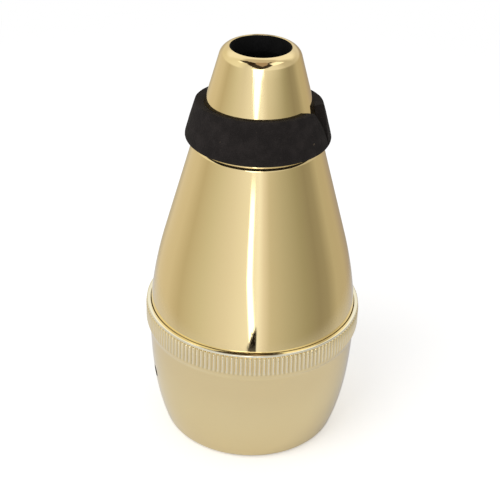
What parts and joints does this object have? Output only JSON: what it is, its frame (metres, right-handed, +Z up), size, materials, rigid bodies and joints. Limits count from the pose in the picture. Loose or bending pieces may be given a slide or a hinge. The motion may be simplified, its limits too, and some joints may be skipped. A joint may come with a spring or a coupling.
{
  "type": "trumpet mute",
  "caption": "Practice mute for a trumpet: a plated cone with a foam sealing band, screwed into a round bowl with a ribbed collar and vent holes.",
  "frame": {"origin": "middle of the bowl's flat foot", "axes": "+Z up along the mute's own axis to the neck opening, -Y to the front of the picture, +X to its right"},
  "size_m": [0.076, 0.076, 0.1446],
  "materials": {
    "plated_gold": "pale gold plating on moulded plastic, mirror bright",
    "black_foam": "matt closed-cell foam",
    "black_plastic": "matt",
    "black_rubber": "matt"
  },
  "bodies": {
    "bowl": {"bowl_cap": "plated_gold", "damping_foam": "black_foam"},
    "seal": {"joint_gasket": "black_rubber"},
    "cone": {"cone_shell": "plated_gold", "sealing_band": "black_foam", "throat_tube": "black_plastic", "baffle_plate": "black_plastic"}
  },
  "joints": [
    {"name": "cone_rise", "type": "slide", "parent": "bowl", "child": "seal", "axis": [0, 0, 1], "range_m": [0, 0.006]},
    {"name": "cone_turn", "type": "hinge", "parent": "seal", "child": "cone", "pos_m": [0, 0, 0.0486], "axis": [0, 0, 1], "range_deg": [0, 720]}
  ],
  "couplings": [
    {"joint": "cone_rise", "follows": "cone_turn", "m_per_rad": 0.00047746}
  ]
}
